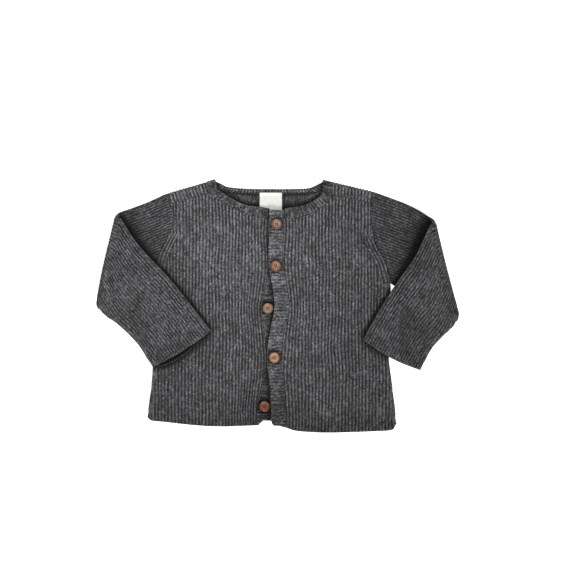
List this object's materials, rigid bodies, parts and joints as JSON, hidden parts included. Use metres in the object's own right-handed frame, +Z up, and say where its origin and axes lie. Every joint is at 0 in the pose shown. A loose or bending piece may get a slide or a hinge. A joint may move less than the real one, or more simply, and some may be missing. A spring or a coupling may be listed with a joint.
{
  "type": "baby cardigan",
  "caption": "Long-sleeved rib-knit baby cardigan with a round neck and a buttoned front, laid flat with both sleeves folded in at the elbow.",
  "frame": {"origin": "centre of the laid-out garment, on the surface that it rests on", "axes": "+Z up out of the surface, +Y from the hem to the neck, +X towards the wearer's left sleeve"},
  "size_m": [0.3992, 0.2793, 0.0163],
  "materials": {
    "rib_knit": "charcoal-grey marl yarn, one-by-one rib, matt and slightly fuzzy",
    "band_knit": "the same marl yarn, one-by-one rib running across the band",
    "button": "copper-brown with lighter and darker grain, satin",
    "label": "plain white woven tab"
  },
  "bodies": {
    "root": {"back": "rib_knit", "front_right": "rib_knit", "front_left": "rib_knit", "sleeve_right": "rib_knit", "sleeve_left": "rib_knit", "neckband": "band_knit", "button_band": "band_knit", "buttonhole_band": "band_knit", "button_1": "button", "button_2": "button", "button_3": "button", "button_4": "button", "button_5": "button", "label": "label"}
  },
  "joints": []
}
